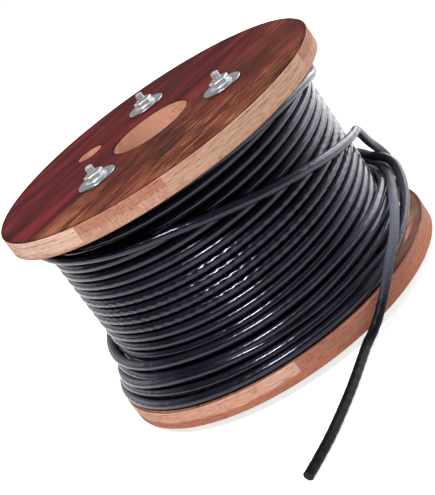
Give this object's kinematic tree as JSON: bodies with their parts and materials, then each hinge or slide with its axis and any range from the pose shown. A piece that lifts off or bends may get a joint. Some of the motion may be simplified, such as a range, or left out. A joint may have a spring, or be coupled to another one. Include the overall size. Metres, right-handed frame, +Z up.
{
  "type": "reel of wire rope",
  "caption": "Round plywood reel wound with black plastic-coated wire rope, clamped by through bolts with wide washers, the rope's end on the floor.",
  "frame": {"origin": "middle of the underside, on the reel's axis, at the level of the bolt heads that it stands on", "axes": "+Z up along the reel's axis; +X to the right in the picture turned upright; the picture looks along +Y"},
  "size_m": [0.2529, 0.3553, 0.1788],
  "materials": {
    "upper_plywood": "stained and filmed face, sawn edge",
    "lower_plywood": "stained and filmed face, sawn edge",
    "paperboard": "wound paperboard",
    "rope_coat": "glossy extruded vinyl over laid strands",
    "zinc_steel": "bright zinc plate"
  },
  "bodies": {
    "root": {"upper_flange": "upper_plywood", "lower_flange": "lower_plywood", "barrel": "paperboard", "winding": "rope_coat", "loose_turn": "rope_coat", "crossing_turn": "rope_coat", "rope_tail": "rope_coat", "bolt_1": "zinc_steel", "bolt_2": "zinc_steel", "bolt_3": "zinc_steel", "nut_1": "zinc_steel", "nut_2": "zinc_steel", "nut_3": "zinc_steel", "upper_washer_1": "zinc_steel", "upper_washer_2": "zinc_steel", "upper_washer_3": "zinc_steel", "lower_washer_1": "zinc_steel", "lower_washer_2": "zinc_steel", "lower_washer_3": "zinc_steel"}
  },
  "joints": []
}
